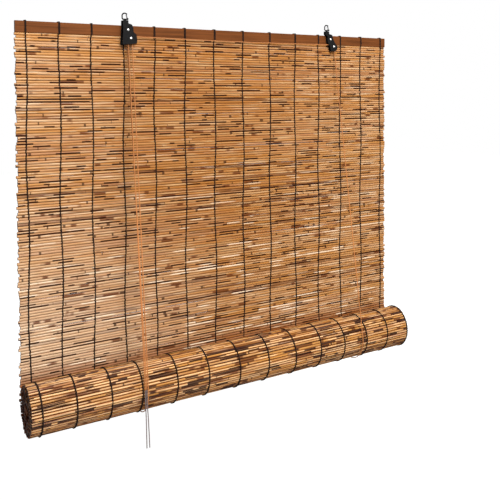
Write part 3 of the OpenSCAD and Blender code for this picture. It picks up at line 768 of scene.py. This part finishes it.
def reed_steps(material):
    """A tree that puts a reed of unit length and radius on each point: bowed, with swollen joints."""
    steps = NodeSteps("reed_courses", {
        "Sides": ("NodeSocketInt", REED_SIDES), "Rings": ("NodeSocketInt", REED_RINGS),
        "Bow": ("NodeSocketFloat", 0.14), "Joint Swell": ("NodeSocketFloat", 0.10)})
    given = steps.given.outputs
    line = steps.add("GeometryNodeCurvePrimitiveLine", {"Start": (-0.5, 0, 0), "End": (0.5, 0, 0)})
    fine = steps.add("GeometryNodeResampleCurve", {"Curve": line.outputs[0], "Count": given["Rings"]})
    index = steps.add("GeometryNodeInputIndex").outputs[0]
    joint = steps.math("COMPARE", steps.math("MODULO", index, JOINT_RINGS), JOINT_RINGS / 2, 0.5)
    swell = steps.math("MULTIPLY_ADD", joint, given["Joint Swell"], 1.0)
    ring = steps.add("GeometryNodeCurvePrimitiveCircle", {"Resolution": given["Sides"], "Radius": 1.0})
    sized = steps.add("GeometryNodeSetCurveRadius", {"Curve": fine.outputs[0], "Radius": swell})
    skin = steps.add("GeometryNodeCurveToMesh", {
        "Curve": sized.outputs[0], "Profile Curve": ring.outputs[0], "Fill Caps": True,
        "Scale": steps.add("GeometryNodeInputRadius").outputs[0]})
    along = steps.axis(steps.add("GeometryNodeInputPosition").outputs[0], "X")
    swing = steps.math("COSINE", steps.math("MULTIPLY", along, 3.1))
    bow = steps.vector(0.0, steps.math("MULTIPLY", swing, given["Bow"]), 0.0)
    bent = steps.add("GeometryNodeSetPosition", {"Geometry": skin.outputs[0], "Offset": bow})
    steps.copies(bent.outputs[0], material)
    return steps


def stitch_steps(material):
    """A tree that lays one strand of thread over a reed at each point, from groove to groove."""
    steps = NodeSteps("thread_stitches", {
        "Thread": ("NodeSocketFloat", 0.13), "Sides": ("NodeSocketInt", 6)})
    given = steps.given.outputs
    arc = steps.add("GeometryNodeCurveQuadraticBezier", {
        "Resolution": 6, "Start": (-0.10, 0.10, -0.56), "Middle": (0.0, -1.28, 0.0),
        "End": (0.10, 0.10, 0.56)})
    ring = steps.add("GeometryNodeCurvePrimitiveCircle", {
        "Resolution": given["Sides"], "Radius": given["Thread"]})
    skin = steps.add("GeometryNodeCurveToMesh", {
        "Curve": arc.outputs[0], "Profile Curve": ring.outputs[0], "Fill Caps": True})
    steps.copies(skin.outputs[0], material)
    return steps


# Places of the reeds


def course_heights():
    """Heights of the courses of the hanging mat, from the rail down to the roll."""
    count = int((MAT_HIGH.z - MAT_LOW.z) / settings().reed_pitch)
    step = (MAT_HIGH.z - MAT_LOW.z) / count
    return [MAT_HIGH.z - (i + 0.5) * step for i in range(count)]


def turn_radius(angle):
    """Middle radius of the rolled mat at an angle from its tail."""
    outer = ROLL_RADIUS - settings().reed_radius
    return outer - (outer - ROLL_CORE) * angle / (math.tau * ROLL_TURNS)


def turn_angles(first, last):
    """Angles of the reeds along the roll's turns, a reed's spacing apart."""
    angles = []
    angle = first
    while angle < last:
        angles.append(angle)
        angle += settings().reed_pitch / turn_radius(angle)
    return angles


def on_turn(angle):
    """Depth and height of a reed on the roll."""
    radius = turn_radius(angle)
    return ROLL_Y + radius * math.cos(angle), ROLL_Z - radius * math.sin(angle)


# Cord routes, as in the solids


def lift_angle(y):
    """Angle on the roll where a cord to the sheave in the plane y leaves it."""
    away = Vector((y - ROLL_Y, CASE_EXIT_Z - ROLL_Z))
    return math.atan2(away.y, away.x) + math.acos(CORD_ON_ROLL / away.length)


def on_roll(x, angle):
    """A cord's point on the roll."""
    return Vector((x, ROLL_Y + CORD_ON_ROLL * math.cos(angle), ROLL_Z + CORD_ON_ROLL * math.sin(angle)))


def on_sheave(x, y, angle):
    """A cord's point on a sheave."""
    return Vector((x + CORD_ON_SHEAVE * math.cos(angle), y, AXLE_Z + CORD_ON_SHEAVE * math.sin(angle)))


def back_route(knot_x, sling_x):
    """From the knot in the rail down the back of the mat."""
    back = RAIL_HIGH.y
    foot = ROLL_Y + CORD_ON_ROLL
    bends = (
        (RAIL_LOW.y + KNOT_SEAT, KNOT_Z), (back, KNOT_Z), (back + 0.0020, KNOT_Z - 0.0012),
        (back + 0.0026, KNOT_Z - 0.0040), (back + 0.0024, RAIL_LOW.z - 0.0040), (foot, RAIL_LOW.z - 0.0600))
    return [Vector((knot_x, y, z)) for y, z in bends] + [Vector((sling_x, foot, ROLL_Z + CORD_GAP))]


def sling_route(x, y, steps=40):
    """Under the roll from back to front."""
    last = lift_angle(y) - math.tau
    return [on_roll(x, last * k / steps) for k in range(steps + 1)]


def front_route(lift_x, y, sling_x):
    """From the roll's front up to a sheave."""
    foot = on_roll(sling_x, lift_angle(y))
    top = Vector((lift_x, y, CASE_EXIT_Z))
    return [foot + (top - foot).normalized() * CORD_GAP, top, Vector((lift_x, y, AXLE_Z - CORD_GAP))]


def tail_route(y, x, drift):
    """From the roll's front down to the cut end."""
    front = ROLL_Y - CORD_ON_ROLL
    return [
        on_roll(x, lift_angle(y)),
        Vector((x, front - 0.0003, ROLL_Z - 0.012)),
        Vector((x + drift / 2, front - 0.0010, ROLL_Z - 0.060)),
        Vector((x + drift, front - 0.0010, PULL_END_Z)),
    ]


def arc_on_sheave(x, y, first, last, steps=12):
    """Points round a sheave, in degrees."""
    return [on_sheave(x, y, math.radians(first + (last - first) * k / steps)) for k in range(steps + 1)]


def cord_table():
    """Each cord's node, body, route, flat direction, far end and lay."""
    left, right = FRONT_SHEAVE_Y, BACK_SHEAVE_Y
    cross = (arc_on_sheave(RIGHT_AXLE_X, right, 0, 90) + [CROSS_MIDDLE]
             + arc_on_sheave(LEFT_AXLE_X, right, 90, 180))
    taut = ALONG_X, "object", "taut"
    loose = ALONG_X, "bare", "hanging"
    return [
        ("left_back_cord", "head", back_route(LEFT_KNOT_X, LEFT_SLING_X), *taut),
        ("left_sling_cord", "sling", sling_route(LEFT_SLING_X, left), *taut),
        ("left_front_cord", "head", front_route(LEFT_LIFT_X, left, LEFT_SLING_X), *taut),
        ("left_sheave_cord", "head", arc_on_sheave(LEFT_AXLE_X, left, 0, 180), ALONG_Y, None, None),
        ("left_pull_cord", "head", front_route(PULL_X, left, LEFT_PULL_X), *taut),
        ("left_pull_tail", "sling", tail_route(left, LEFT_PULL_X, LEFT_TAIL_DRIFT), *loose),
        ("right_back_cord", "head", back_route(RIGHT_KNOT_X, RIGHT_SLING_X), *taut),
        ("right_sling_cord", "sling", sling_route(RIGHT_SLING_X, right), *taut),
        ("right_front_cord", "head", front_route(RIGHT_LIFT_X, right, RIGHT_SLING_X), *taut),
        ("cross_cord", "head", cross, ALONG_Y, "object", "taut"),
        ("right_pull_cord", "head", front_route(PULL_X, right, RIGHT_PULL_X), *taut),
        ("right_pull_tail", "sling", tail_route(right, RIGHT_PULL_X, RIGHT_TAIL_DRIFT), *loose),
    ]


# Operators


class OBJECT_OT_blind_camera(bpy.types.Operator):
    """Places the camera at the photograph's view."""

    bl_idname = "object.blind_camera"
    bl_label = "Blind Camera"

    def execute(self, context):
        ahead = Vector((math.sin(CAMERA_YAW) * math.cos(CAMERA_PITCH),
                        math.cos(CAMERA_YAW) * math.cos(CAMERA_PITCH), math.sin(CAMERA_PITCH)))
        level = Vector((math.cos(CAMERA_YAW), -math.sin(CAMERA_YAW), 0))
        upright = level.cross(ahead)
        right = level * math.cos(CAMERA_ROLL) + upright * math.sin(CAMERA_ROLL)
        up = right.cross(ahead)
        turn = Matrix((right, up, -ahead)).transposed()
        data = bpy.data.cameras.new("blind_camera")
        data.lens = CAMERA_LENS
        data.sensor_width = CAMERA_SENSOR
        data.shift_x = CAMERA_SHIFT_X
        data.shift_y = CAMERA_SHIFT_Y
        data.clip_start = 0.01
        camera = bpy.data.objects.new("blind_camera", data)
        camera.matrix_world = Matrix.Translation(CAMERA_PLACE) @ turn.to_4x4()
        context.scene.collection.objects.link(camera)
        context.scene.camera = camera
        return {"FINISHED"}


class OBJECT_OT_blind_cords(bpy.types.Operator):
    """Lays the lift cords, slings and pull cords along their routes."""

    bl_idname = "object.blind_cords"
    bl_label = "Lift Cords"

    def execute(self, context):
        for node, body, points, flat, far_end, lay in cord_table():
            route = smooth_route(points, CORD_SPACING)
            fibre = finish("grey_cord" if lay == "hanging" else "twisted_cord")
            piece = twisted_tube(node + "_laid", route, CORD_RADIUS, flat, fibre)
            seat(piece, body, "cord", node)
            if node.endswith(("front_cord", "pull_cord")):
                lift_squash(piece)
            elif node.endswith("back_cord"):
                lift_squash(piece)
        return {"FINISHED"}


class OBJECT_OT_blind_stage(bpy.types.Operator):
    """Sets the pale floor, the white surround and the studio light."""

    bl_idname = "object.blind_stage"
    bl_label = "Studio Stage"

    def execute(self, context):
        context.scene.view_settings.view_transform = "Standard"
        context.scene.world = self.surround()
        self.floor()
        for lamp in LAMPS:
            self.lamp(*lamp)
        return {"FINISHED"}

    def surround(self):
        """White for what is seen directly or in metal, and a soft fill for the rest."""
        world = bpy.data.worlds.new("studio_surround")
        shade = Shading(world)
        path = shade.add("ShaderNodeLightPath").outputs
        shiny = shade.math("MAXIMUM", path["Is Glossy Ray"], path["Is Transmission Ray"])
        seen = shade.math("MAXIMUM", path["Is Camera Ray"], shiny)
        light = shade.add("ShaderNodeBackground", {
            "Color": WHITE, "Strength": shade.step(seen, 0.0, 1.0, SURROUND_FILL, 1.0)})
        shade.surface(light.outputs[0], "ShaderNodeOutputWorld")
        return world

    def floor(self):
        """A pale floor well below the hanging blind, which fades to the white of the surround."""
        corners = ((-1, -1), (1, -1), (1, 1), (-1, 1))
        mesh = bpy.data.meshes.new("pale_floor")
        mesh.from_pydata([(x * FLOOR_HALF, y * FLOOR_HALF, FLOOR_Z) for x, y in corners],
                         [], [(0, 1, 2, 3)])
        material = bpy.data.materials.new("pale_floor")
        shade = Shading(material)
        matte = shade.add("ShaderNodeBsdfDiffuse", {"Color": FLOOR_GREY})
        reach = shade.vectors("LENGTH", shade.place(), output="Value")
        fade = shade.step(reach, 1.6, 3.6, 0.84, 1.0)
        seen = shade.add("ShaderNodeLightPath").outputs["Is Camera Ray"]
        glow = shade.add("ShaderNodeEmission", {"Strength": shade.math("MULTIPLY", seen, fade)})
        total = shade.add("ShaderNodeAddShader", {0: matte.outputs[0], 1: glow.outputs[0]})
        shade.surface(total.outputs[0])
        mesh.materials.append(material)
        new_piece("pale_floor", mesh)

    def lamp(self, name, place, target, size, power):
        """A soft square lamp that faces a point."""
        data = bpy.data.lights.new(name, "AREA")
        data.size = size
        data.energy = power
        lamp = bpy.data.objects.new(name, data)
        lamp.location = place
        lamp.rotation_euler = (Vector(target) - Vector(place)).to_track_quat("-Z", "Y").to_euler()
        bpy.context.scene.collection.objects.link(lamp)


class OBJECT_OT_blind_reed_mat(bpy.types.Operator):
    """Hangs the reeds of the mat below the head rail."""

    bl_idname = "object.blind_reed_mat"
    bl_label = "Hanging Reeds"

    def execute(self, context):
        look = settings()
        plan = ReedLayout(look.reed_seed)
        for z in [MAT_HIGH.z, *course_heights()]:
            stray = plan.chance.gauss(0, COURSE_STRAY_Z)
            plan.course(MAT_Y, z + stray, look.reed_radius, MAT_SPREAD, MAT_RAGGED)
        reeds = plan.piece("hanging_reeds")
        reed_steps(finish("hanging_skin")).run(reeds, {"Rings": REED_RINGS, "Bow": MAT_BOW})
        seat(reeds, "head", "reed", "reed_mat")
        lift_squash(reeds)
        return {"FINISHED"}


class OBJECT_OT_blind_reed_roll(bpy.types.Operator):
    """Winds the reeds of the roll, turn on turn."""

    bl_idname = "object.blind_reed_roll"
    bl_label = "Rolled Reeds"

    def execute(self, context):
        self.outer_turn(settings())
        self.inner_turns(settings())
        return {"FINISHED"}

    def outer_turn(self, look):
        """The turn that is seen, in butted reeds."""
        plan = ReedLayout(look.reed_seed + 1, palest=0.60)
        for angle in turn_angles(ROLL_START, math.tau):
            plan.course(*on_turn(angle), look.reed_radius * ROLL_REED_SHARE, ROLL_SPREAD, ROLL_RAGGED)
        reeds = plan.piece("rolled_reeds")
        reed_steps(finish("rolled_skin")).run(reeds, {"Rings": REED_RINGS})
        seat(reeds, "roll", "reed", "reed_roll")

    def inner_turns(self, look):
        """The turns inside, of which only the ends are seen."""
        plan = ReedLayout(look.reed_seed + 2, palest=0.30)
        low, high = CORE_RAGGED
        for angle in turn_angles(math.tau + CORE_START, math.tau * ROLL_TURNS):
            wide = look.reed_radius * plan.chance.uniform(*CORE_REED_SHARES)
            start = LEFT_EDGE + plan.chance.uniform(low, high)
            end = RIGHT_EDGE + plan.chance.uniform(-high, -low)
            plan.reed(start, end, *on_turn(angle), wide)
        reeds = plan.piece("inner_reeds")
        reed_steps(finish("rolled_skin")).run(reeds, {"Rings": CORE_RINGS, "Sides": CORE_SIDES})
        seat(reeds, "roll", "reed")


class OBJECT_OT_blind_stitching(bpy.types.Operator):
    """Sews the reeds together with rows of dark thread."""

    bl_idname = "object.blind_stitching"
    bl_label = "Stitching Rows"

    def execute(self, context):
        look = settings()
        heights = course_heights()
        step = heights[0] - heights[1]
        seen = [z for z in heights if z >= ROLL_Z + HIDDEN_BY_ROLL]
        self.mat_rows(look, "front_stitches", look.reed_seed + 4, seen, 0.0, step, "mat_stitching")
        self.mat_rows(look, "back_stitches", look.reed_seed + 6, heights, math.pi, step)
        self.roll_rows(look, step)
        self.lashings(look)
        return {"FINISHED"}

    def mat_rows(self, look, name, seed, heights, turn, step, *nodes):
        """Rows of strands down one side of the hanging mat."""
        plan = Layout(seed)
        for k in range(ROWS):
            sway = plan.chance.uniform(0, math.tau)
            for i, z in enumerate(heights):
                swing = MAT_SWAY * math.sin(sway + i * SWAY_STEP)
                x = row_x(k) + swing + plan.chance.gauss(0, STITCH_STRAY)
                self.stitch(plan, (x, MAT_Y, z), turn, step)
        rows = self.sew(plan, name, look.thread_radius / step)
        seat(rows, "head", "thread", *nodes)
        lift_squash(rows)

    def roll_rows(self, look, step):
        """The same rows where they go round the roll."""
        plan = Layout(look.reed_seed + 9)
        for k in range(ROWS):
            sway = plan.chance.uniform(0, math.tau)
            drift = ROLL_DRIFT * min(1.0, k / DRIFT_ROWS) if k in LASHED_ROWS else 0.0
            for i, angle in enumerate(turn_angles(ROLL_START, math.tau * STITCHED_SHARE)):
                x = row_x(k) + drift + ROLL_SWAY * math.sin(sway + i * SWAY_STEP)
                self.stitch(plan, (x, *on_turn(angle)), math.pi - angle, step)
        rows = self.sew(plan, "roll_stitches", ROLL_THREAD_SHARE * look.thread_radius / step)
        seat(rows, "roll", "thread", "roll_stitching")

    def stitch(self, plan, place, turn, step):
        """Adds one strand over a reed."""
        size = (step, step * plan.chance.uniform(0.97, 1.08), step)
        plan.put(place, (turn, 0.0, 0.0), size, 0.5)

    def sew(self, plan, name, thread):
        """Makes the strands of a layout."""
        rows = plan.piece(name)
        stitch_steps(finish("stitching_thread")).run(rows, {"Thread": thread})
        return rows

    def lashings(self, look):
        """Winds the thread round the head rail at each row that the left case leaves free."""
        chance = random.Random(look.reed_seed + 13)
        radius = look.thread_radius * LASHING_SHARE
        out = radius * 0.9
        front, back = RAIL_LOW.y - out, RAIL_HIGH.y + out
        low, top = RAIL_LOW.z, RAIL_HIGH.z + out
        corner = LASHING_CORNER
        loops = []
        for k in LASHED_ROWS:
            for strand in (-1, 1):
                x = row_x(k) + strand * radius + chance.gauss(0, 0.0002)
                slip = x + chance.uniform(-0.0008, 0.0008)
                route = [Vector(point) for point in (
                    (x, front, low), (x, front, top - corner), (x, front + corner, top),
                    (slip, back - corner, top), (slip, back, top - corner), (slip, back, low))]
                loops.append(twisted_tube("lashing", smooth_route(route, LASHING_SPACING), radius, ALONG_X,
                                          finish("stitching_thread"), sides=8))
        with bpy.context.temp_override(active_object=loops[0], selected_editable_objects=loops):
            bpy.ops.object.join()
        loops[0].name = "rail_lashing_threads"
        seat(loops[0], "head", "thread", "rail_lashings")


class OBJECT_OT_blind_fittings(bpy.types.Operator):
    """Finishes the rails, pulley cases, hooks, gates, screws, wheels, cord lock and knots."""

    bl_idname = "object.blind_fittings"
    bl_label = "Rails and Fittings"

    def execute(self, context):
        finishes = {
            "stained_rail": ("head_rail", "bottom_rail"),
            "black_paint": (
                "left_case", "right_case", "cam_pin", "left_hook", "right_hook", "left_gate", "right_gate"),
            "bright_plate": (
                "left_screw", "right_screw", "left_spacer", "right_spacer", "left_axle", "right_axle",
                "left_front_sheave", "left_back_sheave", "right_sheave", "lock_cam"),
            "twisted_cord": ("left_knot", "right_knot"),
        }
        for name, nodes in finishes.items():
            for node in nodes:
                materials = bpy.data.objects[node].data.materials
                materials.clear()
                materials.append(finish(name))
        return {"FINISHED"}


class VIEW3D_PT_reed_blind(bpy.types.Panel):
    """Lists the blind's pieces and settings."""

    bl_label = "Reed Blind"
    bl_idname = "VIEW3D_PT_reed_blind"
    bl_space_type = "VIEW_3D"
    bl_region_type = "UI"
    bl_category = "Reed Blind"

    def draw(self, context):
        for operator in OPERATORS:
            self.layout.operator(operator.bl_idname)
        look = context.scene.reed_blind
        for name in BlindSettings.__annotations__:
            self.layout.prop(look, name)


OPERATORS = (
    OBJECT_OT_blind_camera,
    OBJECT_OT_blind_cords,
    OBJECT_OT_blind_stage,
    OBJECT_OT_blind_reed_mat,
    OBJECT_OT_blind_reed_roll,
    OBJECT_OT_blind_stitching,
    OBJECT_OT_blind_fittings,
)
CLASSES = (BlindSettings, *OPERATORS, VIEW3D_PT_reed_blind)


def register():
    """Adds the classes and the scene's settings."""
    for item in CLASSES:
        bpy.utils.register_class(item)
    bpy.types.Scene.reed_blind = bpy.props.PointerProperty(type=BlindSettings)


def unregister():
    """Takes the classes and the scene's settings away."""
    del bpy.types.Scene.reed_blind
    for item in reversed(CLASSES):
        bpy.utils.unregister_class(item)


def main():
    """Makes every piece."""
    register()
    for operator in OPERATORS:
        group, name = operator.bl_idname.split(".")
        getattr(getattr(bpy.ops, group), name)()


if __name__ == "__main__":
    main()
